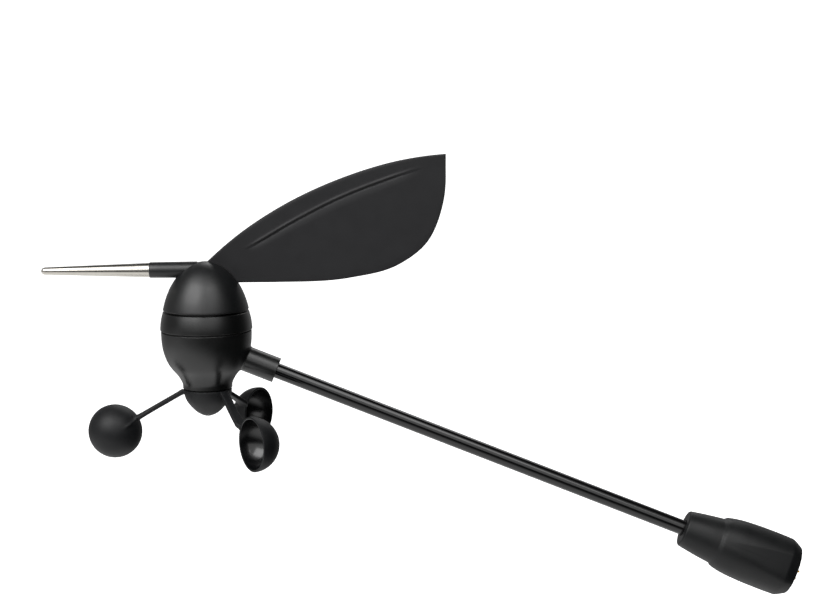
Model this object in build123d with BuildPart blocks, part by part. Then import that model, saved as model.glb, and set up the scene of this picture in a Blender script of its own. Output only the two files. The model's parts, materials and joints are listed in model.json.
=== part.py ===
"""Masthead cup anemometer with a wind vane, on a sloping arm that ends in a locking plug.

Row frame: the origin is the centre of the plug spigot's front face, +X runs away from the
spin axis along the arm's heading, +Z is up. Heights written as z in the sections below are
counted from the seam between the two housings, on the spin axis; stations along the arm
are counted from the spin axis. All sizes are millimetres.
"""
from build123d import *
from math import cos, radians, sin, tan
import os

# --- driving dimensions ---------------------------------------------------------------
arm_slope = 22.1            # the arm points down from level, degrees
spigot_face = 333.0         # station of the plug spigot's front face
seam_above_arm = 7.5        # the housings' seam above the arm's axis, at the spin axis
dome_gap = 1.0              # open gap under the turning dome
hub_gap = 0.7               # and above the turning hub

body_radius = 24.15         # upper housing at the seam
dome_radius = 23.6          # half axes of the dome's elliptical profile
dome_height = 35.9
dome_wall = 1.9
ring_top = 9.6              # upper edge of the upper housing
ring_top_radius = 22.7
neck_bottom = -30.9         # lower end of the lower housing
neck_radius = 12.95

shaft_radius = 1.5          # both shafts
race_radius = 4.0           # outside of the 3 x 8 x 3 ball bearings
bearing_width = 3.0
ball_radius = 0.75
ball_pitch = 2.75           # radius of the balls' circle
balls_per_bearing = 7
ball_clearance = 0.05
tower_radius = 6.2          # moulded towers that hold the bearings
vane_bearings = (4.0, 15.5)         # z of each bearing's lower face
rotor_bearings = (-30.0, -16.5)
ring_thickness = 0.6        # circlips and shaft clips
ring_groove_radius = 4.3
ring_hole_radius = 2.9
clip_radius = 2.6
spacer_radius = 2.3

board_top = -3.0
board_thickness = 1.6
board_radius = 18.5
board_post_reach = 15.5     # board screws' distance from the spin axis
board_post_angles = (90, 180, 270)
board_post_radius = 2.6
board_screw_radius = 1.0
housing_post_reach = 16.6
housing_post_angles = (45, 135, 225, 315)
housing_post_radius = 2.8
housing_screw_radius = 1.25
seal_ledge = (23.1, 22.3, 0.8)      # outside and inside of the housing seal, and how deep its ledge is
magnet_radius = 4.0
magnet_height = 2.5

blade_thickness = 1.8
nose_height = 31.6          # axis of the counterweight
collar_end = -29.0
spike_tip = -85.8
tip_radius = 1.95
shank_radius = 2.0          # of the spike's plain shank in the collar
set_screw_radius = 1.25
shaft_boss_radius = 4.5     # inner bosses that grip the two shafts

hub_radius = 12.7
hub_bottom = -46.3
cup_count = 3
cup_phase = 62.0            # heading of the first cup arm, degrees
cup_reach = 49.2            # cup centre from the spin axis
cup_height = -53.5          # cup centre below the seam
cup_radius = 14.2
cup_wall = 1.2
cup_arm_slope = 30.0
cup_arm_width = 4.8         # of the flat arm where it leaves the hub
cup_arm_thickness = 2.4
cup_arm_sweep = 3.4         # how far behind the spin axis the arm's inner end points

boss_radius = 6.7
boss_end = 39.4
boss_fillet = 1.2           # where the boss runs into the housing
boss_edge = 0.3             # rounding of its outer end
arm_seal_start = 35.5
arm_seal_width = 1.5
arm_seal_radius = 4.9
tube_radius = 4.0
tube_wall = 1.0
tube_start = 22.0
tube_end = 300.0
cable_radius = 1.2
cable_height = -6.2         # z of the lead where it enters its connector

plug_start = 278.0
spigot_radius = 8.5
flange_radius = 11.1
insert_radius = 6.8
insert_start = 322.0
insert_end = 330.5
pin_radius = 0.6
pin_circle = 3.9
pin_tip = 336.8
nut_start = 271.1
nut_front = 334.0
nut_bore = 11.5             # minor radius of the nut's inner thread
grip_flats = 3
grip_turn = 75.0            # turn of the first flat from the arm's upper side towards -Y, degrees

# --- frame helpers --------------------------------------------------------------------
arm_direction = Vector(cos(radians(arm_slope)), 0, -sin(radians(arm_slope)))
arm_root = arm_direction * -spigot_face
seam_centre = arm_root + Vector(0, 0, seam_above_arm)
spin_axis = Axis(seam_centre, (0, 0, 1))
arm_axis = Axis(arm_root, arm_direction)
upright = Plane(origin=seam_centre, x_dir=(1, 0, 0), z_dir=(0, -1, 0))      # x outward, y up
along_arm = Plane(origin=arm_root, x_dir=arm_direction, z_dir=(0, -1, 0))   # x station


def level(z):
    """Horizontal plane at height z, centred on the spin axis."""
    return Plane(origin=seam_centre + Vector(0, 0, z))


def arm_section(station):
    """Plane square to the arm at a station, with its y direction upward."""
    return Plane(origin=arm_root + arm_direction * station, x_dir=(0, 1, 0), z_dir=arm_direction)


def disc(plane, outer, inner=0.0):
    """A round or ring-shaped face."""
    with BuildSketch(plane) as face:
        Circle(outer)
        if inner:
            Circle(inner, mode=Mode.SUBTRACT)
    return face.sketch


def spots(plane, reach, angles, radius):
    """Round faces at a given distance from the plane's origin."""
    with BuildSketch(plane) as face:
        with Locations(*[(reach * cos(radians(a)), reach * sin(radians(a))) for a in angles]):
            Circle(radius)
    return face.sketch


def outline(plane, *corners):
    """A face with straight sides through the given corners."""
    with BuildSketch(plane) as face:
        with BuildLine():
            Polyline(*corners, close=True)
        make_face()
    return face.sketch


def finish(name, part):
    """Label a finished piece and write its file."""
    part.label = name
    export_step(part, f"parts/{name}.step")


os.makedirs("parts", exist_ok=True)

# --- lower housing: pear-shaped shell with the arm boss, bearing tower and posts -----------
with BuildPart() as lower_cavity:
    with BuildSketch(upright):
        with BuildLine():
            wall = Spline((21.8, 0), (21.0, -10), (16.7, -20), (13.1, -24.2), (11.2, -27.5))
            Polyline(wall @ 1, (0, -27.5), (0, 0), wall @ 0)
        make_face()
    revolve(axis=spin_axis)
    extrude(disc(level(-28), tower_radius), amount=15.5, mode=Mode.SUBTRACT)
    extrude(disc(arm_section(19), boss_radius), amount=20, mode=Mode.SUBTRACT)
    extrude(
        spots(level(-22), board_post_reach, board_post_angles, board_post_radius),
        amount=22 + board_top - board_thickness,
        mode=Mode.SUBTRACT,
    )
    extrude(
        spots(level(-22), housing_post_reach, housing_post_angles, housing_post_radius),
        amount=22,
        mode=Mode.SUBTRACT,
    )

with BuildPart() as lower_housing:
    with BuildSketch(upright):
        with BuildLine():
            shoulder = ThreePointArc((23.55, -seal_ledge[2]), (23.73, -0.87), (23.8, -1.1))
            skin = Spline(
                shoulder @ 1, (23.05, -10), (18.9, -20), (15.4, -24.2), (13.3, -28),
                (neck_radius, neck_bottom),
                tangents=((0, -1), (0, -1)),
            )
            Polyline(
                skin @ 1, (0, neck_bottom), (0, 0), (seal_ledge[1], 0), (seal_ledge[1], -seal_ledge[2]),
                shoulder @ 0,
            )
        make_face()
    revolve(axis=spin_axis)
    shell_edges = lower_housing.edges()
    extrude(disc(arm_section(15), boss_radius), amount=boss_end - 15)
    boss_edges = (lower_housing.edges() - shell_edges).filter_by(GeomType.BSPLINE)
    fillet([edge for edge in boss_edges if abs(edge.center().Y) > boss_radius / 2], boss_fillet)
    fillet(lower_housing.faces().sort_by(arm_axis)[-1].edges(), boss_edge)
    add(lower_cavity.part, mode=Mode.SUBTRACT)
    extrude(disc(arm_section(tube_start), tube_radius), amount=20, mode=Mode.SUBTRACT)
    extrude(disc(arm_section(14), tube_radius - tube_wall), amount=10, mode=Mode.SUBTRACT)
    extrude(disc(arm_section(arm_seal_start), arm_seal_radius), amount=arm_seal_width, mode=Mode.SUBTRACT)
    extrude(disc(level(neck_bottom), 3.0), amount=25, mode=Mode.SUBTRACT)
    extrude(disc(level(neck_bottom), race_radius), amount=4.0, mode=Mode.SUBTRACT)
    extrude(disc(level(rotor_bearings[1]), race_radius), amount=6, mode=Mode.SUBTRACT)
    for groove in (rotor_bearings[0] - ring_thickness, rotor_bearings[1] + bearing_width):
        extrude(disc(level(groove), ring_groove_radius), amount=ring_thickness, mode=Mode.SUBTRACT)
    extrude(
        spots(level(-10), board_post_reach, board_post_angles, board_screw_radius),
        amount=8,
        mode=Mode.SUBTRACT,
    )
    extrude(
        spots(level(-9), housing_post_reach, housing_post_angles, housing_screw_radius),
        amount=10,
        mode=Mode.SUBTRACT,
    )
finish("lower_housing", lower_housing.part)

# --- upper housing: the fixed ring with its deck, bearing tower and rain lip ----------------
with BuildPart() as upper_housing:
    with BuildSketch(upright):
        with BuildLine():
            lower_edge = ThreePointArc((23.8, 0), (24.05, 0.1), (body_radius, 0.35))
            ring = ThreePointArc(lower_edge @ 1, (23.72, 4.9), (ring_top_radius, ring_top - 0.35))
            upper_edge = ThreePointArc(ring @ 1, (ring_top_radius - 0.1, ring_top - 0.1), (22.35, ring_top))
            Polyline(
                upper_edge @ 1, (19.7, ring_top), (19.7, 12.2), (18.9, 12.2), (18.9, 5.5),
                (tower_radius, 5.5), (tower_radius, 19.1), (race_radius, 19.1), (race_radius, 15.5),
                (3.0, 15.5), (3.0, 7.0), (race_radius, 7.0), (race_radius, 3.4), (21.6, 3.4),
                (21.6, 0), lower_edge @ 0,
            )
        make_face()
    revolve(axis=spin_axis)
    extrude(spots(level(0), housing_post_reach, housing_post_angles, housing_post_radius), amount=3.4)
    extrude(
        spots(level(0), housing_post_reach, housing_post_angles, housing_screw_radius),
        amount=5.5,
        mode=Mode.SUBTRACT,
    )
    for groove in (vane_bearings[0] - ring_thickness, vane_bearings[1] + bearing_width):
        extrude(disc(level(groove), ring_groove_radius), amount=ring_thickness, mode=Mode.SUBTRACT)
finish("upper_housing", upper_housing.part)

# --- housing seal and the screws that pull the housings together ----------------------------
with BuildPart() as housing_seal:
    extrude(disc(level(-seal_ledge[2]), *seal_ledge[:2]), amount=seal_ledge[2])
finish("housing_seal", housing_seal.part)

with BuildPart() as housing_screws:
    extrude(spots(level(5.5), housing_post_reach, housing_post_angles, 2.0), amount=1.8)
    extrude(spots(level(-8), housing_post_reach, housing_post_angles, housing_screw_radius), amount=13.5)
    extrude(spots(level(6.4), housing_post_reach, housing_post_angles, 0.9), amount=1, mode=Mode.SUBTRACT)
finish("housing_screws", housing_screws.part)


# --- ball bearings: two on each shaft --------------------------------------------------------
def race_pair(bottoms, outer, inner):
    """Two bearing races on the spin axis, each with the balls' groove."""
    with BuildPart() as races:
        for bottom in bottoms:
            extrude(disc(level(bottom), outer, inner), amount=bearing_width)
            with BuildSketch(upright):
                with Locations((ball_pitch, bottom + bearing_width / 2)):
                    Circle(ball_radius + ball_clearance)
            revolve(axis=spin_axis, mode=Mode.SUBTRACT)
    return races.part


def ball_sets(bottoms):
    """The balls of two bearings, each ball a solid of its own."""
    with BuildPart() as balls:
        for bottom in bottoms:
            with Locations(level(bottom + bearing_width / 2)):
                with PolarLocations(ball_pitch, balls_per_bearing):
                    Sphere(ball_radius)
    return balls.part


finish("vane_bearing_outer_races", race_pair(vane_bearings, race_radius, 3.3))
finish("vane_bearing_inner_races", race_pair(vane_bearings, 2.2, shaft_radius))
finish("vane_bearing_balls", ball_sets(vane_bearings))
finish("rotor_bearing_outer_races", race_pair(rotor_bearings, race_radius, 3.3))
finish("rotor_bearing_inner_races", race_pair(rotor_bearings, 2.2, shaft_radius))
finish("rotor_bearing_balls", ball_sets(rotor_bearings))

with BuildPart() as bearing_retaining_rings:
    for bottom in (
        vane_bearings[0] - ring_thickness,
        vane_bearings[1] + bearing_width,
        rotor_bearings[0] - ring_thickness,
        rotor_bearings[1] + bearing_width,
    ):
        extrude(disc(level(bottom), ring_groove_radius, ring_hole_radius), amount=ring_thickness)
finish("bearing_retaining_rings", bearing_retaining_rings.part)

# --- sensor board between the two magnets ---------------------------------------------------
board_bottom = board_top - board_thickness
with BuildPart() as sensor_board:
    extrude(disc(level(board_bottom), board_radius), amount=board_thickness)
    extrude(
        spots(level(board_bottom), housing_post_reach, housing_post_angles, 3.3),
        amount=board_thickness,
        mode=Mode.SUBTRACT,
    )
    extrude(
        spots(level(board_bottom), board_post_reach, board_post_angles, board_screw_radius),
        amount=board_thickness,
        mode=Mode.SUBTRACT,
    )
finish("sensor_board", sensor_board.part)

with BuildPart() as hall_sensors:
    with Locations(level(board_top)):
        Box(5, 4, 1, align=(Align.CENTER, Align.CENTER, Align.MIN))
    with Locations(level(board_bottom)):
        Box(4, 3, 1, align=(Align.CENTER, Align.CENTER, Align.MAX))
finish("hall_sensors", hall_sensors.part)

with BuildPart() as board_components:
    with Locations(level(board_top)):
        with Locations((-7.5, 6), (7.5, 6)):
            Box(6, 5, 1.2, align=(Align.CENTER, Align.CENTER, Align.MIN))
        with Locations((-8, -8), (-4.5, -8), (4.5, -8), (8, -8)):
            Box(2.0, 1.25, 1.0, align=(Align.CENTER, Align.CENTER, Align.MIN))
finish("board_components", board_components.part)

with BuildPart() as cable_connector:
    with Locations(level(board_bottom)):
        with Locations((-1, -6)):
            Box(6, 6, 3.0, align=(Align.CENTER, Align.CENTER, Align.MAX))
finish("cable_connector", cable_connector.part)

with BuildPart() as board_screws:
    extrude(spots(level(board_top), board_post_reach, board_post_angles, 1.9), amount=1.4)
    extrude(spots(level(-9), board_post_reach, board_post_angles, board_screw_radius), amount=9 + board_top)
finish("board_screws", board_screws.part)

# --- arm: tube, the seal in the boss, and the lead inside it ---------------------------------
with BuildPart() as arm_tube:
    extrude(disc(arm_section(tube_start), tube_radius, tube_radius - tube_wall), amount=tube_end - tube_start)
finish("arm_tube", arm_tube.part)

with BuildPart() as arm_seal:
    extrude(disc(arm_section(arm_seal_start), arm_seal_radius, tube_radius), amount=arm_seal_width)
finish("arm_seal", arm_seal.part)

lead_route = [
    arm_root + arm_direction * insert_start,
    arm_root + arm_direction * 17,
    seam_centre + Vector(10.5, -6, cable_height),
    seam_centre + Vector(2, -6, cable_height),
]


def corner_radii(route, share=0.45):
    """For each corner, a share of its shorter run over the tangent of half its turn."""
    runs = [b - a for a, b in zip(route, route[1:])]
    return [
        share * min(a.length, b.length) / tan(radians(a.get_angle(b)) / 2) for a, b in zip(runs, runs[1:])
    ]


lead_radii = corner_radii(lead_route)
print("lead bend radii", [round(radius, 1) for radius in lead_radii])
with BuildPart() as signal_lead:
    with BuildLine() as lead_path:
        FilletPolyline(*lead_route, radius=lead_radii)
    with BuildSketch(arm_section(insert_start)):
        Circle(cable_radius)
    sweep(path=lead_path.line)
finish("signal_lead", signal_lead.part)

# --- plug at the arm's end -------------------------------------------------------------------
with BuildPart() as plug_body:
    with BuildSketch(along_arm):
        with BuildLine():
            Polyline(
                (plug_start, tube_radius), (plug_start, spigot_radius), (296, spigot_radius), (296, 7.6),
                (297.2, 7.6), (297.2, spigot_radius), (304.3, spigot_radius), (304.3, flange_radius),
                (307.3, flange_radius), (307.3, spigot_radius), (313.8, spigot_radius), (313.8, 7.05),
                (316.2, 7.05), (316.2, spigot_radius), (spigot_face, spigot_radius),
                (spigot_face, insert_radius), (insert_start, insert_radius), (insert_start, 6.0),
                (tube_end, 6.0), (tube_end, tube_radius), close=True,
            )
        make_face()
    revolve(axis=arm_axis)
    with BuildSketch(arm_section(insert_end)):
        with Locations((0, spigot_radius)):
            Rectangle(1.6, 1.8)
    extrude(amount=10, mode=Mode.SUBTRACT)
finish("plug_body", plug_body.part)

pin_angles = (90, 162, 234, 306, 18)
with BuildPart() as pin_insert:
    extrude(disc(arm_section(insert_start), insert_radius), amount=insert_end - insert_start)
    extrude(
        spots(arm_section(insert_start), pin_circle, pin_angles, pin_radius), amount=10, mode=Mode.SUBTRACT
    )
finish("pin_insert", pin_insert.part)

with BuildPart() as contact_pins:
    extrude(
        spots(arm_section(insert_start), pin_circle, pin_angles, pin_radius), amount=pin_tip - insert_start
    )
    fillet(contact_pins.faces().group_by(arm_axis)[-1].edges(), pin_radius * 0.6)
finish("contact_pins", contact_pins.part)

with BuildPart() as plug_seal:
    with BuildSketch(along_arm):
        with Locations((315, 8.05)):
            Circle(0.95)
    revolve(axis=arm_axis)
finish("plug_seal", plug_seal.part)

with BuildPart() as nut_retaining_ring:
    extrude(disc(arm_section(296), 9.9, 7.6), amount=1.2)
    with BuildSketch(arm_section(296)):
        with Locations((0, -9)):
            Rectangle(5, 5)
    extrude(amount=1.2, mode=Mode.SUBTRACT)
finish("nut_retaining_ring", nut_retaining_ring.part)

# --- locking nut: tapered barrel, then a stepped grip with flats -----------------------------
with BuildPart() as locking_nut:
    with BuildSketch(along_arm):
        with BuildLine():
            corner = ThreePointArc((nut_start, 8.6), (nut_start + 0.4, 9.45), (nut_start + 1.3, 9.8))
            barrel = Spline(corner @ 1, (280, 11.1), (289.8, 12.4))
            step = Line(barrel @ 1, (291.6, 13.6))
            grip = Spline(step @ 1, (298, 14.95), (306, 15.6), (318, 15.9), (328.5, 15.7))
            Polyline(
                grip @ 1, (332.6, 13.6), (nut_front, 13.0), (nut_front, nut_bore + 0.6),
                (nut_front - 0.6, nut_bore), (304, nut_bore), (304, 8.9), (297.5, 8.9), (297.5, 10.4),
                (nut_start + 3, 8.8), (nut_start + 3, 4.5), (nut_start, 4.5), corner @ 0,
            )
        make_face()
    revolve(axis=arm_axis)
    for turn in range(grip_flats):
        facing = grip_turn + turn * 360 / grip_flats
        flat_profile = along_arm.rotated((facing, 0, 0))
        extrude(
            outline(flat_profile, (291.6, 13.55), (291.6, 20), (340, 20), (340, 15.65)),
            amount=20,
            both=True,
            mode=Mode.SUBTRACT,
        )
finish("locking_nut", locking_nut.part)

# --- wind vane: dome, blade and nose collar in one moulding ----------------------------------
with BuildPart() as dome_cavity:
    with BuildSketch(upright):
        Ellipse(dome_radius - dome_wall, dome_height - dome_wall)
        with Locations((-50, 0)):
            Rectangle(100, 200, mode=Mode.SUBTRACT)
        with Locations((0, -50)):
            Rectangle(200, 100, mode=Mode.SUBTRACT)
    revolve(axis=spin_axis)
    extrude(disc(level(20.5), shaft_boss_radius), amount=20, mode=Mode.SUBTRACT)
    screw_plane = Plane(origin=seam_centre + Vector(0, 0, 24), x_dir=(1, 0, 0), z_dir=(0, 1, 0))
    extrude(disc(screw_plane, 3.2), amount=30, mode=Mode.SUBTRACT)
    collar_plane = Plane(origin=seam_centre + Vector(0, 0, nose_height), x_dir=(0, 1, 0), z_dir=(-1, 0, 0))
    extrude(disc(collar_plane, 4.2), amount=30, mode=Mode.SUBTRACT)

with BuildPart() as wind_vane:
    with BuildSketch(upright):
        Ellipse(dome_radius, dome_height)
        with Locations((-50, 0)):
            Rectangle(100, 200, mode=Mode.SUBTRACT)
        with Locations((0, ring_top + dome_gap - 50)):
            Rectangle(200, 100, mode=Mode.SUBTRACT)
    revolve(axis=spin_axis)
    with BuildSketch(upright):
        with BuildLine():
            Polyline(
                (collar_end, nose_height), (collar_end, nose_height + 4.1), (-4, nose_height + 4.3),
                (-4, nose_height), close=True,
            )
        make_face()
    revolve(axis=Axis(seam_centre + Vector(0, 0, nose_height), (1, 0, 0)))
    with BuildSketch(upright):
        with BuildLine():
            crest = Spline(
                (-1, 33.6), (16.7, 49.0), (42.1, 65.35), (73.6, 79.4), (104.9, 88.2), (126.7, 90.9)
            )
            tail = Line(crest @ 1, (126.6, 79))
            belly = Spline(
                tail @ 1, (124.6, 63.2), (116.2, 44.4), (101.1, 33.0), (75.9, 26.5), (38, 24.6),
                tangents=((0, -1), (-1, 0)),
            )
            Polyline(belly @ 1, (12, 24.6), crest @ 0)
        make_face()
    extrude(amount=blade_thickness / 2, both=True)
    add(dome_cavity.part, mode=Mode.SUBTRACT)
    extrude(disc(level(20), shaft_radius), amount=10, mode=Mode.SUBTRACT)
    extrude(disc(screw_plane, set_screw_radius), amount=30, mode=Mode.SUBTRACT)
    extrude(disc(collar_plane.offset(11.5), shank_radius), amount=20, mode=Mode.SUBTRACT)
finish("wind_vane", wind_vane.part)

# --- counterweight: a tapered stainless spike with a plain shank ----------------------------
with BuildPart() as counterweight:
    with BuildSketch(upright):
        with BuildLine():
            Polyline(
                (spike_tip, nose_height), (-12, nose_height), (-12, nose_height + shank_radius),
                (collar_end, nose_height + shank_radius), (collar_end, nose_height + 3.8),
                (spike_tip + tip_radius, nose_height + tip_radius),
            )
            CenterArc((spike_tip + tip_radius, nose_height), tip_radius, 90, 90)
        make_face()
    revolve(axis=Axis(seam_centre + Vector(0, 0, nose_height), (1, 0, 0)))
finish("counterweight", counterweight.part)

# --- vane spindle pieces ---------------------------------------------------------------------
with BuildPart() as vane_shaft:
    extrude(disc(level(0.2 + magnet_height), shaft_radius), amount=27.3)
finish("vane_shaft", vane_shaft.part)

with BuildPart() as vane_set_screw:
    extrude(disc(screw_plane.offset(shaft_radius), set_screw_radius), amount=6.5)
    with BuildSketch(screw_plane.offset(6.2)):
        RegularPolygon(0.75, 6)
    extrude(amount=3, mode=Mode.SUBTRACT)
finish("vane_set_screw", vane_set_screw.part)

with BuildPart() as vane_magnet:
    extrude(disc(level(0.2), magnet_radius), amount=magnet_height)
finish("vane_magnet", vane_magnet.part)

with BuildPart() as vane_shaft_spacer:
    extrude(disc(level(vane_bearings[1] + bearing_width), spacer_radius, shaft_radius), amount=2.0)
finish("vane_shaft_spacer", vane_shaft_spacer.part)

with BuildPart() as vane_shaft_clip:
    extrude(disc(level(vane_bearings[0] - ring_thickness), clip_radius, shaft_radius), amount=ring_thickness)
finish("vane_shaft_clip", vane_shaft_clip.part)


# --- cup rotor: hub, arms and cups in one moulding -------------------------------------------
def cup_frame(heading):
    """The cup's centre, its arm's outward direction, and the way its mouth faces."""
    a = radians(heading)
    centre = seam_centre + Vector(cup_reach * cos(a), cup_reach * sin(a), cup_height)
    down = radians(cup_arm_slope)
    outward = Vector(cos(down) * cos(a), cos(down) * sin(a), -sin(down))
    return centre, outward, Vector(sin(a), -cos(a), 0)


hub_top = neck_bottom - hub_gap
rotor_screw_heading = cup_phase + 60
rotor_screw_plane = Plane(
    origin=seam_centre + Vector(0, 0, -37),
    x_dir=(0, 0, 1),
    z_dir=(cos(radians(rotor_screw_heading)), sin(radians(rotor_screw_heading)), 0),
)
with BuildPart() as hub_cavity:
    extrude(disc(level(-39.5), 8.6), amount=4)
    extrude(disc(level(-37.5), 10.4), amount=8)
    extrude(disc(level(-41), shaft_boss_radius), amount=20, mode=Mode.SUBTRACT)
    extrude(disc(rotor_screw_plane, 2.8), amount=20, mode=Mode.SUBTRACT)

with BuildPart() as cup_rotor:
    with BuildSketch(upright):
        with BuildLine():
            nose = Spline(
                (hub_radius, hub_top), (11.65, -36.8), (8.75, -41.1), (4.2, -45.0), (0, hub_bottom),
                tangents=((0, -1), (-1, 0)),
            )
            Polyline(nose @ 1, (0, hub_top), nose @ 0)
        make_face()
    revolve(axis=spin_axis)
    for number in range(cup_count):
        centre, outward, mouth = cup_frame(cup_phase + number * 360 / cup_count)
        for distance, flare, sweep in ((45.0, 1.1, cup_arm_sweep), (19.0, 1.0, 0.6)):
            root = centre - outward * distance - mouth * sweep
            with BuildSketch(Plane(origin=root, x_dir=mouth, z_dir=outward)):
                RectangleRounded(cup_arm_width * flare, cup_arm_thickness * flare, cup_arm_thickness * 0.4)
        with BuildSketch(Plane(origin=centre - outward * 13.4, x_dir=mouth, z_dir=outward)):
            with Locations((-1.2, 0)):
                RectangleRounded(6.8, 2.8, 1.05)
        loft()
        with BuildSketch(Plane(origin=centre, x_dir=-mouth, z_dir=outward.cross(mouth))):
            with BuildLine():
                CenterArc((0, 0), cup_radius, 0, 90)
                CenterArc((0, 0), cup_radius - cup_wall, 0, 90)
                Line((cup_radius, 0), (cup_radius - cup_wall, 0))
                Line((0, cup_radius), (0, cup_radius - cup_wall))
            make_face()
        revolve(axis=Axis(centre, mouth))
        with BuildSketch(Plane(origin=centre, x_dir=outward, z_dir=mouth)):
            Circle(cup_radius - cup_wall)
        extrude(amount=6, mode=Mode.SUBTRACT)
    extrude(disc(level(hub_top), 14.5), amount=3, mode=Mode.SUBTRACT)
    add(hub_cavity.part, mode=Mode.SUBTRACT)
    extrude(disc(level(-44), shaft_radius), amount=20, mode=Mode.SUBTRACT)
    extrude(disc(rotor_screw_plane, set_screw_radius), amount=20, mode=Mode.SUBTRACT)
finish("cup_rotor", cup_rotor.part)

# --- rotor spindle pieces --------------------------------------------------------------------
rotor_magnet_bottom = -10.8
with BuildPart() as rotor_shaft:
    extrude(disc(level(-44), shaft_radius), amount=44 + rotor_magnet_bottom)
finish("rotor_shaft", rotor_shaft.part)

with BuildPart() as rotor_set_screw:
    extrude(disc(rotor_screw_plane.offset(shaft_radius), set_screw_radius), amount=8.0)
    with BuildSketch(rotor_screw_plane.offset(7.7)):
        RegularPolygon(0.75, 6)
    extrude(amount=3, mode=Mode.SUBTRACT)
finish("rotor_set_screw", rotor_set_screw.part)

with BuildPart() as rotor_magnet:
    extrude(disc(level(rotor_magnet_bottom), magnet_radius), amount=magnet_height)
finish("rotor_magnet", rotor_magnet.part)

with BuildPart() as rotor_shaft_spacer:
    extrude(disc(level(hub_top), spacer_radius, shaft_radius), amount=rotor_bearings[0] - hub_top)
finish("rotor_shaft_spacer", rotor_shaft_spacer.part)

with BuildPart() as rotor_shaft_clip:
    extrude(disc(level(rotor_bearings[1] + bearing_width), clip_radius, shaft_radius), amount=ring_thickness)
finish("rotor_shaft_clip", rotor_shaft_clip.part)
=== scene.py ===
"""The looks of a masthead cup anemometer with a wind vane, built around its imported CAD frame.

The file starts with the housings and the parts inside them, then follows the arm to the plug and
its nut, and ends with the vane, its counterweight and the cup rotor. Sizes are in millimetres and
are turned to metres where a mesh is made.
"""
import json
from math import atan2, cos, degrees, hypot, pi, radians, sin, sqrt

import bmesh
import bpy
import numpy as np
from mathutils import Matrix, Vector


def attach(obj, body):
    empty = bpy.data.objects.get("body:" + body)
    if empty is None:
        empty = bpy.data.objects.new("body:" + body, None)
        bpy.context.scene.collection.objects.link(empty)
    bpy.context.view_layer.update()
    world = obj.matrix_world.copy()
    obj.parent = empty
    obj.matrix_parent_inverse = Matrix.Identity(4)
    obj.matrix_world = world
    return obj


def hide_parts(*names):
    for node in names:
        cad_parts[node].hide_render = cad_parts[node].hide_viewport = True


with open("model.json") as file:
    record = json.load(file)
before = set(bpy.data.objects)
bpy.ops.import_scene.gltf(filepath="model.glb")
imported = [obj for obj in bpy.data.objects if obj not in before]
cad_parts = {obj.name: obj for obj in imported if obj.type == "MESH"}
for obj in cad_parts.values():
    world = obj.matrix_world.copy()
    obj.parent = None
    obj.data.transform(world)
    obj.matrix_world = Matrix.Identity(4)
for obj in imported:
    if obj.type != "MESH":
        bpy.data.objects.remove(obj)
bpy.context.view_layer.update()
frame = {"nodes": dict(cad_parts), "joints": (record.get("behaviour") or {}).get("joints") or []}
nodes = frame["nodes"]
joints = {joint["name"]: joint for joint in frame["joints"]}
mm = 0.001

# --- camera -----------------------------------------------------------------------------------
# A product shot from one and a quarter metres with a long lens, a little above the sensor and
# a little to the right of its body, leaning half a degree.
seam = Vector(joints["vane_spin"]["pos_m"])     # the housings' seam on the spin axis
camera_place = seam + Vector((119.66, -1134.0, 174.16)) * mm
camera_target = Vector((seam.x + 112.44 * mm, 0, seam.z + 14.32 * mm))
camera_lean = -0.623        # degrees, clockwise
camera_data = bpy.data.cameras.new("camera")
camera_data.lens = 93.6
camera_data.sensor_width = 36
camera_data.clip_end = 100
camera = bpy.data.objects.new("camera", camera_data)
bpy.context.collection.objects.link(camera)
camera.location = camera_place
look = (camera_target - camera_place).to_track_quat("-Z", "Y").to_matrix().to_4x4()
lean = Matrix.Rotation(radians(camera_lean), 4, "Z")
camera.matrix_world = Matrix.Translation(camera_place) @ look @ lean
bpy.context.scene.camera = camera
bpy.context.scene.view_settings.view_transform = "Standard"


# --- light and floor --------------------------------------------------------------------------
# A white studio: a pale table below, a wide soft glow in front from just above eye level, two
# softboxes overhead, the stronger one on the left, and a weaker one behind. It is dark at eye
# level and to the right.
def linear(hex_colour):
    """An sRGB hex colour as linear red, green, blue and full alpha."""
    parts = [int(hex_colour[i : i + 2], 16) / 255 for i in (1, 3, 5)]
    return tuple(v / 12.92 if v <= 0.04045 else ((v + 0.055) / 1.055) ** 2.4 for v in parts) + (1.0,)


def add(tree, kind, settings, links=()):
    """One node with its settings, each an input socket or an attribute, and its incoming links."""
    node = tree.nodes.new(kind)
    for key, value in settings.items():
        if isinstance(key, str) and hasattr(node, key):
            setattr(node, key, value)
        else:
            node.inputs[key].default_value = value
    for key, source in links:
        tree.links.new(source, node.inputs[key])
    return node


def softbox(name, azimuth, elevation, distance, width, height, brightness):
    """A rectangular area light that faces the body. Azimuth is counted in degrees from the front
    towards the right, and brightness is that of its face beside a white table's 1."""
    data = bpy.data.lights.new(name, "AREA")
    data.shape = "RECTANGLE"
    data.size = width
    data.size_y = height
    data.energy = brightness * pi * width * height
    lamp = bpy.data.objects.new(name, data)
    bpy.context.collection.objects.link(lamp)
    turn, rise = radians(azimuth), radians(elevation)
    towards = Vector((sin(turn) * cos(rise), -cos(turn) * cos(rise), sin(rise)))
    facing = towards.to_track_quat("Z", "Y").to_matrix().to_4x4()
    lamp.matrix_world = Matrix.Translation(seam + towards * distance) @ facing


softbox("softbox_left", -40, 43, 1.6, 1.30, 1.05, 3.8)
softbox("softbox_right", 30, 46, 1.6, 0.70, 0.80, 2.2)
softbox("softbox_behind", 165, 40, 1.8, 1.20, 0.80, 1.6)

studio = bpy.data.worlds.new("studio")
bpy.context.scene.world = studio
studio.use_nodes = True
tree = studio.node_tree
tree.nodes.clear()
direction = add(tree, "ShaderNodeTexCoord", {})


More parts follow.
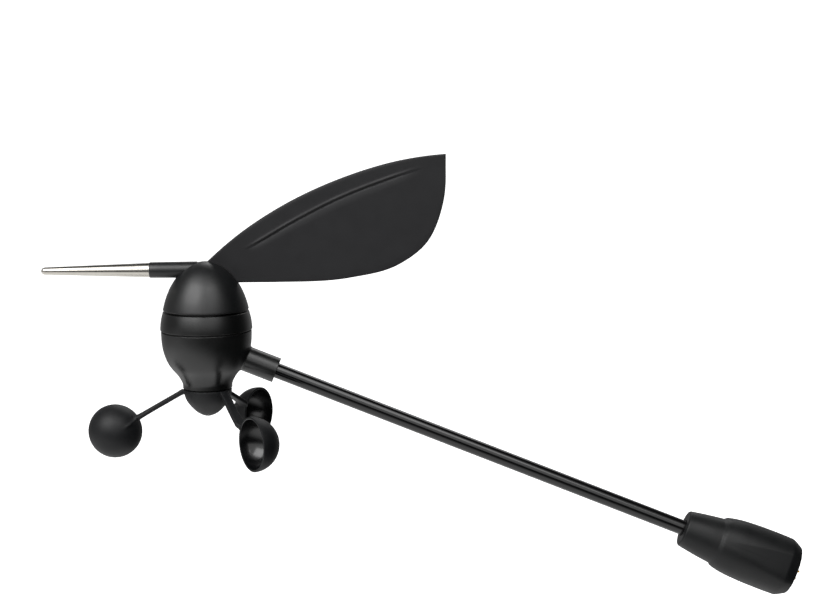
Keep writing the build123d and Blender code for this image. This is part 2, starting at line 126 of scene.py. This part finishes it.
def glow_towards(facing, low, high, strength):
    """A part of the studio's glow. It is none where the cosine of the angle from a direction is
    low, and has its full strength where that is high."""
    cosine = add(
        tree,
        "ShaderNodeVectorMath",
        {"operation": "DOT_PRODUCT", 1: facing},
        [(0, direction.outputs["Generated"])],
    )
    ramp = add(
        tree,
        "ShaderNodeMapRange",
        {"interpolation_type": "SMOOTHSTEP", "From Min": low, "From Max": high, "To Max": strength},
        [("Value", cosine.outputs["Value"])],
    )
    return ramp.outputs["Result"]


in_front = glow_towards((-0.20, -0.85, 0.49), 0.42, 0.86, 1.15)
above_eye_level = glow_towards((0, 0, 1), 0.02, 0.20, 1)
front_panel = add(
    tree, "ShaderNodeMath", {"operation": "MULTIPLY"}, [(0, in_front), (1, above_eye_level)]
)
glow = front_panel.outputs["Value"]
for part in (
    glow_towards((-0.33, -0.10, -0.94), 0.32, 0.80, 0.95),      # the white table, lit from the left
    glow_towards((0, 1, 0), 0.30, 0.95, 0.35),                  # the backdrop
    glow_towards((-1, 0, 0), 0.50, 1.00, 0.15),                 # a pale wall on the left
):
    glow = add(tree, "ShaderNodeMath", {"operation": "ADD"}, [(0, glow), (1, part)]).outputs["Value"]
backdrop = add(tree, "ShaderNodeBackground", {"Color": (1, 1, 1, 1)}, [("Strength", glow)])
add(tree, "ShaderNodeOutputWorld", {}, [("Surface", backdrop.outputs["Background"])])

# The floor is a round sweep: level in the middle, then rising all round to a wall. Metres.
floor_drop = 0.40           # below the plug
floor_reach = 9
sweep_radius = 3
wall_top = 12
floor_steps = 64
sweep = [
    (floor_reach + sweep_radius * sin(a), sweep_radius * (1 - cos(a)) - floor_drop)
    for a in np.linspace(0, pi / 2, 13)
]
sweep.append((floor_reach + sweep_radius, wall_top))
points = [(0, 0, -floor_drop)]
for reach, height in sweep:
    for k in range(floor_steps):
        turn = 2 * pi * k / floor_steps
        points.append((reach * cos(turn), reach * sin(turn), height))
faces = [(0, 1 + k, 1 + (k + 1) % floor_steps) for k in range(floor_steps)]
for row in range(len(sweep) - 1):
    here, there = 1 + row * floor_steps, 1 + (row + 1) * floor_steps
    for k in range(floor_steps):
        j = (k + 1) % floor_steps
        faces.append((here + k, there + k, there + j, here + j))
floor_mesh = bpy.data.meshes.new("floor")
floor_mesh.from_pydata(points, [], faces)
floor_mesh.shade_smooth()
floor = bpy.data.objects.new("floor", floor_mesh)
bpy.context.collection.objects.link(floor)
white_table = bpy.data.materials.new("white_table")
white_table.use_nodes = True
table_shader = white_table.node_tree.nodes["Principled BSDF"]
table_shader.inputs["Base Color"].default_value = linear("#f4f4f4")
table_shader.inputs["Roughness"].default_value = 0.9
table_shader.inputs["Specular IOR Level"].default_value = 0.1
table_shader.inputs["Emission Color"].default_value = linear("#ffffff")
table_shader.inputs["Emission Strength"].default_value = 1.0
floor_mesh.materials.append(white_table)
# The studio's own glow stands for the table in the gloss, so the floor is for the eye only.
floor.visible_glossy = False
floor.visible_diffuse = False
floor.visible_shadow = False


# --- lower housing and upper housing ----------------------------------------------------------
# Two mouldings in black glass-filled PBT, a pear-shaped shell with the arm's boss and a ring
# with the deck. The tool is finely spark-eroded, so the skin is satin with a faint grain.
def shader_of(name):
    """A new material, its node tree and its principled shader."""
    material = bpy.data.materials.new(name)
    material.use_nodes = True
    return material, material.node_tree, material.node_tree.nodes["Principled BSDF"]


def moulded(name, colour, shade, roughness, spread, grain, grain_depth, ior):
    """Moulded thermoplastic. colour and shade are the two tones of its slow mottling, roughness
    varies by spread over a few millimetres, and grain is the spark-eroded texture's size in mm.
    ior is the gloss of its skin."""
    material, tree, shader = shader_of(name)
    place = add(tree, "ShaderNodeTexCoord", {})
    mottle = add(
        tree,
        "ShaderNodeTexNoise",
        {"Scale": 1 / (9 * mm), "Detail": 3.0, "Roughness": 0.55},
        [("Vector", place.outputs["Object"])],
    )
    tone = add(
        tree,
        "ShaderNodeMix",
        {"data_type": "RGBA", 6: linear(colour), 7: linear(shade)},
        [(0, mottle.outputs["Fac"])],
    )
    polish = add(
        tree,
        "ShaderNodeMapRange",
        {"From Min": 0.3, "From Max": 0.7, "To Min": roughness - spread, "To Max": roughness + spread},
        [("Value", mottle.outputs["Fac"])],
    )
    erosion = add(
        tree,
        "ShaderNodeTexNoise",
        {"Scale": 1 / (grain * mm), "Detail": 2.0, "Roughness": 0.6},
        [("Vector", place.outputs["Object"])],
    )
    relief = add(
        tree,
        "ShaderNodeBump",
        {"Strength": 1.0, "Distance": grain_depth * mm},
        [("Height", erosion.outputs["Fac"])],
    )
    tree.links.new(tone.outputs[2], shader.inputs["Base Color"])
    tree.links.new(polish.outputs["Result"], shader.inputs["Roughness"])
    tree.links.new(relief.outputs["Normal"], shader.inputs["Normal"])
    shader.inputs["IOR"].default_value = ior
    return material


def dress(material, *names):
    """Give carried-over CAD nodes a material."""
    for name in names:
        for slot in nodes[name].material_slots:
            slot.material = material


# Satin black with a soft wide highlight and little colour of its own. Real spark-eroded grain
# is about 0.05 mm; 0.35 mm is drawn so that it shows.
black_pbt = moulded("moulded_black_pbt", "#0a0b0b", "#0f1010", 0.32, 0.04, 0.35, 0.010, 1.62)
dress(black_pbt, "lower_housing", "upper_housing")

# --- housing seal, arm seal and plug seal -----------------------------------------------------
# Moulded EPDM rubber: a flat gasket between the housings, a ring in the boss and the plug's
# O-ring. Dull and dark, with the dusty bloom that rubber gets.
epdm, tree, shader = shader_of("moulded_epdm_rubber")
place = add(tree, "ShaderNodeTexCoord", {})
bloom = add(
    tree,
    "ShaderNodeTexNoise",
    {"Scale": 1 / (1.5 * mm), "Detail": 4.0},
    [("Vector", place.outputs["Object"])],
)
dust = add(
    tree,
    "ShaderNodeMix",
    {"data_type": "RGBA", 6: linear("#141414"), 7: linear("#262626")},
    [(0, bloom.outputs["Fac"])],
)
skin = add(
    tree, "ShaderNodeBump", {"Strength": 0.6, "Distance": 0.01 * mm}, [("Height", bloom.outputs["Fac"])]
)
tree.links.new(dust.outputs[2], shader.inputs["Base Color"])
tree.links.new(skin.outputs["Normal"], shader.inputs["Normal"])
shader.inputs["Roughness"].default_value = 0.75
dress(epdm, "housing_seal", "arm_seal", "plug_seal")


# --- screws, clips, spacers and spindles ------------------------------------------------------
# Stainless steel small parts: turned spindles and spacers, cold-headed screws, stamped clips.
# Bright, with fine marks that run round each part.
def machined(name, metal, dark, roughness, line, along):
    """A worked metal. line is the spacing of its tool marks in mm, and along the direction
    across them, in the row frame."""
    material, tree, shader = shader_of(name)
    place = add(tree, "ShaderNodeTexCoord", {})
    run = add(
        tree,
        "ShaderNodeVectorMath",
        {"operation": "DOT_PRODUCT", 1: tuple(along)},
        [(0, place.outputs["Object"])],
    )
    marks = add(
        tree,
        "ShaderNodeTexNoise",
        {"noise_dimensions": "1D", "Scale": 1.0, "Detail": 3.0, "Roughness": 0.7},
    )
    stretch = add(
        tree, "ShaderNodeMath", {"operation": "MULTIPLY", 1: 1 / (line * mm)}, [(0, run.outputs["Value"])]
    )
    tree.links.new(stretch.outputs["Value"], marks.inputs["W"])
    stain = add(
        tree,
        "ShaderNodeTexNoise",
        {"Scale": 1 / (6 * mm), "Detail": 3.0},
        [("Vector", place.outputs["Object"])],
    )
    tone = add(
        tree,
        "ShaderNodeMix",
        {"data_type": "RGBA", 6: linear(metal), 7: linear(dark)},
        [(0, stain.outputs["Fac"])],
    )
    polish = add(
        tree,
        "ShaderNodeMapRange",
        {"From Min": 0.3, "From Max": 0.7, "To Min": roughness * 0.75, "To Max": roughness * 1.3},
        [("Value", marks.outputs["Fac"])],
    )
    groove = add(
        tree, "ShaderNodeBump", {"Strength": 0.5, "Distance": 0.004 * mm}, [("Height", marks.outputs["Fac"])]
    )
    tree.links.new(tone.outputs[2], shader.inputs["Base Color"])
    tree.links.new(polish.outputs["Result"], shader.inputs["Roughness"])
    tree.links.new(groove.outputs["Normal"], shader.inputs["Normal"])
    shader.inputs["Metallic"].default_value = 1.0
    return material


small_steel = machined("turned_stainless_small", "#c9c7c2", "#b4b2ae", 0.22, 0.25, (0, 0, 1))
dress(
    small_steel, "housing_screws", "board_screws", "bearing_retaining_rings", "vane_shaft", "vane_set_screw",
    "vane_shaft_spacer", "vane_shaft_clip", "rotor_shaft", "rotor_set_screw", "rotor_shaft_spacer",
    "rotor_shaft_clip", "nut_retaining_ring",
)

# --- ball bearings ----------------------------------------------------------------------------
# Hardened bearing steel, ground and lapped: brighter and smoother than the turned parts.
ground_steel = machined("ground_bearing_steel", "#d3d4d6", "#c6c8cb", 0.10, 0.12, (0, 0, 1))
dress(
    ground_steel, "vane_bearing_outer_races", "vane_bearing_inner_races", "vane_bearing_balls",
    "rotor_bearing_outer_races", "rotor_bearing_inner_races", "rotor_bearing_balls",
)

# --- sensor magnets ---------------------------------------------------------------------------
# Sintered magnets plated with nickel: a warm grey shine with a slightly pebbled skin.
nickel, tree, shader = shader_of("plated_nickel")
place = add(tree, "ShaderNodeTexCoord", {})
pebble = add(
    tree,
    "ShaderNodeTexNoise",
    {"Scale": 1 / (0.6 * mm), "Detail": 2.0},
    [("Vector", place.outputs["Object"])],
)
plating = add(
    tree,
    "ShaderNodeMapRange",
    {"To Min": 0.14, "To Max": 0.32},
    [("Value", pebble.outputs["Fac"])],
)
pits = add(
    tree, "ShaderNodeBump", {"Strength": 0.4, "Distance": 0.01 * mm}, [("Height", pebble.outputs["Fac"])]
)
tree.links.new(plating.outputs["Result"], shader.inputs["Roughness"])
tree.links.new(pits.outputs["Normal"], shader.inputs["Normal"])
shader.inputs["Base Color"].default_value = linear("#c4beb2")
shader.inputs["Metallic"].default_value = 1.0
dress(nickel, "vane_magnet", "rotor_magnet")

# --- sensor board -----------------------------------------------------------------------------
# A round glass-epoxy board under green solder mask, with copper tracks that show through it
# as paler lines a third of a millimetre wide.
solder_mask, tree, shader = shader_of("printed_solder_mask")
place = add(tree, "ShaderNodeTexCoord", {})
tracks = add(
    tree,
    "ShaderNodeTexBrick",
    {"Scale": 1 / (6 * mm), "Mortar Size": 0.028, "Mortar Smooth": 0.1, "offset": 0.37,
     "Color1": (0, 0, 0, 1), "Color2": (0, 0, 0, 1), "Mortar": (1, 1, 1, 1)},
    [("Vector", place.outputs["Object"])],
)
mask = add(
    tree,
    "ShaderNodeMix",
    {"data_type": "RGBA", 6: linear("#0d4a2a"), 7: linear("#2f7a45")},
    [(0, tracks.outputs["Color"])],
)
raised = add(
    tree, "ShaderNodeBump", {"Strength": 0.5, "Distance": 0.03 * mm}, [("Height", tracks.outputs["Color"])]
)
tree.links.new(mask.outputs[2], shader.inputs["Base Color"])
tree.links.new(raised.outputs["Normal"], shader.inputs["Normal"])
shader.inputs["Roughness"].default_value = 0.28
dress(solder_mask, "sensor_board")

# --- chips and connector on the board ---------------------------------------------------------
# Transfer-moulded epoxy packages, dull charcoal with a coarse grain, and a header moulded in
# unfilled nylon, cream and a little waxy.
epoxy = moulded("moulded_chip_epoxy", "#1c1c1d", "#28282a", 0.62, 0.05, 0.18, 0.01, 1.5)
dress(epoxy, "hall_sensors", "board_components")
nylon = moulded("moulded_natural_nylon", "#d9d1bd", "#cfc6ae", 0.42, 0.05, 0.5, 0.006, 1.53)
dress(nylon, "cable_connector")

# --- arm tube ---------------------------------------------------------------------------------
# An 8 mm aluminium tube, drawn, dyed and sealed to a glossy black. It mirrors the lamps as
# thin lines along its length, broken a little by the drawing marks.
gloss_tube, tree, shader = shader_of("drawn_black_anodised_tube")
along_arm = Vector(joints["nut_spin"]["axis"])
place = add(tree, "ShaderNodeTexCoord", {})
arm_level = atan2(-along_arm.z, along_arm.x)
streak = (1 / (60 * mm), 1 / (0.8 * mm), 1 / (0.8 * mm))
lengthwise = add(
    tree,
    "ShaderNodeMapping",
    {"vector_type": "POINT", "Rotation": (0, -arm_level, 0), "Scale": streak},
    [("Vector", place.outputs["Object"])],
)
drawing = add(
    tree, "ShaderNodeTexNoise", {"Scale": 1.0, "Detail": 2.0}, [("Vector", lengthwise.outputs["Vector"])]
)
seal_polish = add(
    tree,
    "ShaderNodeMapRange",
    {"To Min": 0.10, "To Max": 0.20},
    [("Value", drawing.outputs["Fac"])],
)
drawn = add(
    tree, "ShaderNodeBump", {"Strength": 0.4, "Distance": 0.006 * mm}, [("Height", drawing.outputs["Fac"])]
)
tree.links.new(seal_polish.outputs["Result"], shader.inputs["Roughness"])
tree.links.new(drawn.outputs["Normal"], shader.inputs["Normal"])
shader.inputs["Base Color"].default_value = linear("#0c0c0d")
shader.inputs["IOR"].default_value = 1.6
dress(gloss_tube, "arm_tube")

# --- signal lead ------------------------------------------------------------------------------
# A thin screened lead in a grey PVC jacket, extruded, clipped inside the housing and the tube.
pvc = moulded("extruded_grey_pvc", "#4b4c4e", "#56575a", 0.45, 0.05, 0.8, 0.01, 1.53)
dress(pvc, "signal_lead")

# --- plug body, insert and contacts -----------------------------------------------------------
# The plug and its insert are moulded in black glass-filled nylon, and the five contacts are
# turned brass under gold plate: warm, smooth and bright.
black_nylon = moulded("moulded_black_nylon", "#141517", "#1b1c1e", 0.42, 0.05, 0.35, 0.012, 1.53)
dress(black_nylon, "plug_body", "pin_insert")
gold = machined("plated_gold", "#f2c45c", "#e0ab45", 0.16, 0.2, along_arm)
dress(gold, "contact_pins")


# --- locking nut ------------------------------------------------------------------------------
# Moulded in black nylon: a smooth tapered barrel, a step, then a fuller grip with three long
# flats. Each flat is crisp along one edge, where the tool parts, and rolls off at the other.
def arm_point(station, radius, angle):
    """A point round the arm's axis, at a station from the spin axis, in metres. The angle is
    counted from the arm's upper side towards the front."""
    up = Vector((-along_arm.z, 0, along_arm.x))
    front = Vector((0, -1, 0))
    return along_arm * (station - plug_station) * mm + (up * cos(angle) + front * sin(angle)) * radius * mm


def lofted(name, rings, closed=False):
    """A mesh skinned over rings of points, each joined to the next. An open loft is capped at
    both ends, and a closed one joins its last ring to the first."""
    count = len(rings[0])
    mesh = bpy.data.meshes.new(name)
    points = [point for ring in rings for point in ring]
    faces = []
    for row in range(len(rings) if closed else len(rings) - 1):
        here, there = row * count, (row + 1) % len(rings) * count
        for i in range(count):
            j = (i + 1) % count
            faces.append((here + i, here + j, there + j, there + i))
    if not closed:
        last = (len(rings) - 1) * count
        faces.append(tuple(range(count))[::-1])
        faces.append(tuple(range(last, last + count)))
    mesh.from_pydata([tuple(point) for point in points], [], faces)
    work = bmesh.new()
    work.from_mesh(mesh)
    bmesh.ops.remove_doubles(work, verts=work.verts, dist=0.002 * mm)
    bmesh.ops.recalc_face_normals(work, faces=work.faces)
    work.to_mesh(mesh)
    work.free()
    piece = bpy.data.objects.new(name, mesh)
    bpy.context.collection.objects.link(piece)
    return piece


def smooth_faces(piece, crease_angle):
    """Shade smooth, with sharp edges where faces meet at more than the angle, in degrees."""
    piece.data.shade_smooth()
    piece.data.set_sharp_from_angle(angle=radians(crease_angle))


def smooth_line(points, count):
    """Points on a smooth curve through the given ones, evenly spaced by chord."""
    p = np.array(points, float)
    t = np.concatenate(([0], np.cumsum(np.linalg.norm(np.diff(p, axis=0), axis=1))))
    slope = np.gradient(p, t, axis=0, edge_order=2)
    s = np.linspace(0, t[-1], count)
    i = np.clip(np.searchsorted(t, s, side="right") - 1, 0, len(t) - 2)
    run = (t[i + 1] - t[i])[:, None]
    w = (s - t[i])[:, None] / run
    return (
        (2 * w**3 - 3 * w**2 + 1) * p[i] + (w**3 - 2 * w**2 + w) * run * slope[i]
        + (3 * w**2 - 2 * w**3) * p[i + 1] + (w**3 - w**2) * run * slope[i + 1]
    )


def eased(value, low, high):
    """0 below low, 1 above high, with a smooth rise between."""
    t = min(max((value - low) / (high - low), 0), 1)
    return t * t * (3 - 2 * t)


plug_station = 333.0        # of the plug's front face, which is the frame's origin
nut_steps = 288             # points round the nut
flat_start, flat_end = 291.6, 331.0
flat_turns = (75, 195, 315)
flat_spread = 27            # degrees to each side of a flat's middle at its wide end
flat_reach = 44             # and the furthest that one is looked for
crisp_edge, soft_edge = 0.06, 1.8       # mm over which a flat's two long edges are rounded


def flat_radius(station, plain, angle):
    """The nut's radius where its flats cut into the plain turned shape. A flat starts as a point
    at the step and widens towards the open end."""
    if station < flat_start:
        return plain
    grown = min((station - flat_start) / (flat_end - flat_start), 1)
    depth = plain * cos(radians(flat_spread * grown**0.8))
    for turn in flat_turns:
        off = (angle - radians(turn) + pi) % (2 * pi) - pi
        if abs(off) > radians(flat_reach):
            continue
        cut = depth / cos(off)
        blend = max(soft_edge * grown, crisp_edge) if off > 0 else crisp_edge
        overlap = max(blend - abs(cut - plain), 0) / blend
        plain = min(cut, plain) - overlap * overlap * blend / 4
    return plain


corner = [(271.1 + 1.3 * (1 - cos(a)), 8.5 + 1.3 * sin(a)) for a in np.linspace(0, pi / 2, 7)]
barrel = smooth_line([corner[-1], (280, 11.1), (289.8, 12.4)], 34)
step = [(290.1, 12.5), (290.7, 12.95), (291.3, 13.42), (291.7, 13.62), (292.2, 13.8)]
grip = smooth_line([(292.6, 13.9), (298, 14.95), (306, 15.6), (318, 15.9), (328.2, 15.75)], 90)
chamfer = [(329.0, 15.55), (330.5, 14.85), (332.6, 13.7), (333.4, 13.25), (333.85, 12.9), (334, 12.5)]
bore = [(334, 12.1), (333.4, 11.5), (304, 11.5), (304, 8.9), (297.5, 8.9), (297.5, 10.4), (274.1, 8.8),
        (274.1, 4.5), (271.1, 4.5), (271.1, 8.0)]
rings = []
for station, radius in [*corner, *barrel, *step, *grip, *chamfer, *bore]:
    outside = radius > 12.3 and station > flat_start
    angles = [2 * pi * k / nut_steps for k in range(nut_steps)]
    rings.append(
        [arm_point(station, flat_radius(station, radius, a) if outside else radius, a) for a in angles]
    )
nut = lofted("locking_nut_grip", rings, closed=True)
smooth_faces(nut, 38)
# Satin black like the housings, rougher and with less gloss.
nut_nylon = moulded("moulded_black_nut_nylon", "#0d0e0f", "#121314", 0.48, 0.05, 0.4, 0.012, 1.42)
nut.data.materials.append(nut_nylon)
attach(nut, "nut")
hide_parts("locking_nut")

# --- wind vane --------------------------------------------------------------------------------
# One moulding in charcoal ASA: the dome that sheds rain over the housing, a thin blade and the
# collar that holds the counterweight. The blade has a fine raised crease below its top edge.
round_steps = 192
dome_lip = 10.6
dome_skin = (23.6, 35.9)
dome_wall = 1.9


def turned(name, profile, steps):
    """A ring-shaped or capped solid from (radius, height) points about the spin axis."""
    return lofted(
        name,
        [
            [
                seam + Vector((r * cos(2 * pi * k / steps), r * sin(2 * pi * k / steps), z)) * mm
                for k in range(steps)
            ]
            for r, z in profile
        ],
        closed=True,
    )


def dome_arc(shrink, bottom):
    """The dome's elliptical profile from its top down to a height."""
    wide, tall = dome_skin[0] - shrink, dome_skin[1] - shrink
    lowest = np.arcsin(bottom / tall)
    return [(wide * cos(a), tall * sin(a)) for a in np.linspace(pi / 2, lowest, 60)]


outer_arc = dome_arc(0, dome_lip + 0.45)
inner_arc = dome_arc(dome_wall, dome_lip + 0.3)
lip_edge = [(outer_arc[-1][0] - 0.02, dome_lip + 0.2), (outer_arc[-1][0] - 0.2, dome_lip),
            (inner_arc[-1][0] + 0.2, dome_lip)]
dome = turned("vane_dome", [*outer_arc, *lip_edge, *inner_arc[::-1]], round_steps)
smooth_faces(dome, 50)

shaft_grip = turned("vane_shaft_grip", [(1.5, 20.5), (4.5, 20.5), (4.5, 33.5), (1.5, 33.5)], 64)
smooth_faces(shaft_grip, 40)

nose_height = 31.6
collar_steps = 96
collar_profile = [
    (4.3, -4), (4.25, -12), (4.15, -24), (4.1, -28.5), (4.0, -28.85), (3.8, -29.0), (2.0, -29.0), (2.0, -4),
]
collar = lofted(
    "vane_nose_collar",
    [
        [
            seam + Vector((x, r * cos(turn), nose_height + r * sin(turn))) * mm
            for turn in (2 * pi * k / collar_steps for k in range(collar_steps))
        ]
        for r, x in collar_profile
    ],
    closed=True,
)
smooth_faces(collar, 40)

blade_half = 0.85           # half the blade's thickness
blade_edge = 0.42           # and at its rounded edge
crease_shoulder = 0.20      # the blade's skin stands this much higher above the crease
crease_rise, crease_groove = 0.46, 0.48     # the raised line, and the groove beneath it
search_steps = 400          # along the crease, and across each section to find it
crest = smooth_line([(-1, 33.6), (16.7, 49), (42.1, 65.35), (73.6, 79.4), (104.9, 88.2), (126.7, 90.9)], 220)
belly = smooth_line(
    [(12, 24.6), (25, 24.6), (38, 24.6), (75.9, 26.5), (101.1, 33), (116.2, 44.4), (124.6, 63.2),
     (126.6, 79)],
    220,
)
crease = smooth_line(
    [(2, 32.0), (23.9, 43.5), (50.3, 58.4), (71.3, 68.7), (92.3, 76.8), (109.5, 82.4), (127, 86.6)],
    search_steps,
)
rings = []
for low, high in zip(belly, crest):
    length = np.linalg.norm(high - low)
    upward = (high - low) / length
    samples = low + np.linspace(0, 1, search_steps)[:, None] * (high - low)
    nearest = np.linalg.norm(samples[:, None] - crease[None], axis=2).min(axis=1).argmin()
    middle = min(max(nearest / (search_steps - 1) * length, 3.2), length - 3.0)
    heights = np.unique(np.round(np.concatenate((
        [0, 0.15, 0.4, 0.8], np.linspace(0.8, middle - 1.8, 13)[1:],
        middle + np.array([-1.2, -0.8, -0.5, -0.25, 0, 0.2, 0.4, 0.6, 0.9, 1.4]),
        np.linspace(middle + 1.8, length - 0.8, 8), [length - 0.4, length - 0.15, length],
    )), 6))
    # The crease fades in behind the dome and out before the tip, and the edge closes at the tip.
    crossing = low[0] + upward[0] * middle
    tail = np.linalg.norm(crest[-1] - high) * 0.6 + np.linalg.norm(belly[-1] - low) * 0.4
    shown = eased(crossing, 20, 31) * (1 - eased(crossing, 97, 116))
    front, back = [], []
    for height in heights:
        x, z = low + upward * height
        inset = min(height, length - height, tail)
        edge = 1 - min(inset / 0.8, 1)
        half = blade_edge + (blade_half - blade_edge) * sqrt(max(1 - edge * edge, 0))
        above = (height - middle) * 0.85
        band = crease_shoulder * eased(above, -0.4, 0.2)
        band += crease_rise * np.exp(-((above - 0.45) / 0.55) ** 2)
        under = crease_groove * np.exp(-((above + 0.65) / 0.5) ** 2)
        half += (band * min(max((length - height) / 1.2, 0), 1) - under) * shown
        front.append(seam + Vector((x, -half, z)) * mm)
        back.append(seam + Vector((x, half, z)) * mm)
    rings.append(front + back[::-1])
blade = lofted("vane_blade", rings)
smooth_faces(blade, 35)

# Charcoal and nearly matt, so that the blade looks flat and even in soft light. The mottling
# is slow and faint, as the colour of a thin moulding is.
charcoal_asa = moulded("moulded_charcoal_asa", "#171719", "#1c1c1e", 0.54, 0.04, 0.4, 0.010, 1.43)
dome_asa = moulded("moulded_dome_asa", "#0e0f10", "#131415", 0.40, 0.04, 0.35, 0.010, 1.58)
for piece, material in ((dome, dome_asa), (shaft_grip, dome_asa), (collar, dome_asa), (blade, charcoal_asa)):
    piece.data.materials.append(material)
    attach(piece, "vane")
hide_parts("wind_vane")

# --- counterweight ----------------------------------------------------------------------------
# A tapered spike turned from stainless bar and polished, pressed into the collar. It mirrors
# the studio in long soft lines, over turning marks a third of a millimetre apart.
polished_spike = machined("turned_stainless_spike", "#d8d4cc", "#c8c4bc", 0.20, 0.33, (1, 0, 0))
dress(polished_spike, "counterweight")

# --- cup rotor --------------------------------------------------------------------------------
# One moulding in black acetal: a pointed hub, three flat arms and three half-ball cups. The
# cups' inner faces come off a polished core, so they are glossier than their backs.
hub_top = -31.6
hub_side = smooth_line(
    [(12.7, -32.0), (11.65, -36.8), (8.75, -41.1), (4.2, -45.0), (0.9, -46.2), (0, -46.3)], 44
)
hub_profile = [(1.5, hub_top), (12.35, hub_top), (12.6, hub_top - 0.12), *hub_side, (0, -44), (1.5, -44)]
hub = turned("rotor_hub", hub_profile, round_steps)
smooth_faces(hub, 40)

cup_centre_reach, cup_centre_height = 49.2, -53.5
cup_outer, cup_inner = 14.2, 13.0
arm_slope = radians(30)
ridge_height = 0.75         # of the arm's line where it runs on over the cup's back
arm_root, arm_foot = 45, 13.3   # from the cup's centre: a place inside the hub, and the outer end
arm_steps = 40              # points round an arm
arm_sweep = 3.4             # how far behind the spin axis an arm's inner end points
cup_steps = 224
cup_headings = [radians(62 + 120 * number) for number in range(3)]
cups, cup_arms = [], []
for number, heading in enumerate(cup_headings, 1):
    out = Vector((cos(arm_slope) * cos(heading), cos(arm_slope) * sin(heading), -sin(arm_slope)))
    mouth = Vector((sin(heading), -cos(heading), 0))
    across = out.cross(mouth)
    centre = seam + Vector(
        (cup_centre_reach * cos(heading), cup_centre_reach * sin(heading), cup_centre_height)
    ) * mm

    def cup_ring(radius, polar, ridge=False):
        """A ring of the cup round its mouth's axis. polar is counted from the back's pole."""
        points = []
        for k in range(cup_steps):
            turn = 2 * pi * k / cup_steps
            off = min(turn, 2 * pi - turn)
            swell = 0.0
            if ridge:
                away = cup_outer * sin(polar) * off
                swell = ridge_height * np.exp(-(away**2)) * eased(degrees(polar), 22, 58)
            side = out * cos(turn + pi) + across * sin(turn + pi)
            points.append(centre + (-mouth * cos(polar) + side * sin(polar)) * (radius + swell) * mm)
        return points

    outside = [cup_ring(cup_outer, a, ridge=True) for a in np.linspace(0, radians(89), 50)]
    rim = []
    for radius, lift in ((14.18, 0.05), (14.0, 0.18), (13.6, 0.24), (13.2, 0.18), (13.02, 0.05)):
        turns = [2 * pi * k / cup_steps + pi for k in range(cup_steps)]
        sides = [out * cos(turn) + across * sin(turn) for turn in turns]
        rim.append([centre + (side * radius + mouth * lift) * mm for side in sides])
    inside = [cup_ring(cup_inner, a) for a in np.linspace(radians(89), 0, 40)]
    cup = lofted(f"rotor_cup_{number}", [*outside, *rim, *inside])
    smooth_faces(cup, 45)
    cups.append((cup, centre))

    arm_rings = []
    distances = (np.linspace(47, 40, 12), np.linspace(39, 20, 8), np.linspace(19, arm_foot, 20))
    for distance in np.concatenate(distances):
        sweep_back = arm_sweep * (distance - arm_foot) / (arm_root - arm_foot)
        near_cup = 1 - eased(distance, 13.2, 25)
        near_hub = eased(distance, 38, 46)
        tucked = 1 - eased(distance, 13.2, 16.5)
        mouth_side = 2.4 - 0.2 * near_cup - 1.7 * tucked + 0.4 * near_hub
        back_side = 2.4 + 2.2 * near_cup + 0.4 * near_hub
        thick = 1.25 + 0.35 * tucked + 0.8 * near_hub**2
        ring = []
        for k in range(arm_steps):
            turn = 2 * pi * k / arm_steps
            c, s = cos(turn), sin(turn)
            width = mouth_side if c > 0 else back_side
            wide = width * abs(c) ** 0.55 * (1 if c > 0 else -1)
            high = thick * abs(s) ** 0.45 * (1 if s > 0 else -1)
            point = centre + (-out * distance + mouth * (wide - sweep_back) + across * high) * mm
            if hypot(point.x - seam.x, point.y - seam.y) < 14.5 * mm:
                point.z = min(point.z, seam.z + hub_top * mm)
            ring.append(point)
        arm_rings.append(ring)
    arm = lofted(f"rotor_arm_{number}", arm_rings)
    smooth_faces(arm, 50)
    cup_arms.append(arm)

# Backs and arms are satin black with a fine grain; the cups' inner faces are nearly polished.
satin_acetal = moulded("moulded_satin_acetal", "#0e0f11", "#131416", 0.52, 0.05, 0.35, 0.012, 1.42)
polished_acetal = moulded("moulded_polished_acetal", "#08090a", "#0c0d0e", 0.22, 0.05, 0.9, 0.006, 1.6)
for piece in (hub, *(cup for cup, centre in cups), *cup_arms):
    piece.data.materials.append(satin_acetal)
    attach(piece, "rotor")
for cup, centre in cups:
    cup.data.materials.append(polished_acetal)
    for face in cup.data.polygons:
        if (face.center - centre).length < (cup_inner + 0.3) * mm:
            face.material_index = 1
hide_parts("cup_rotor")
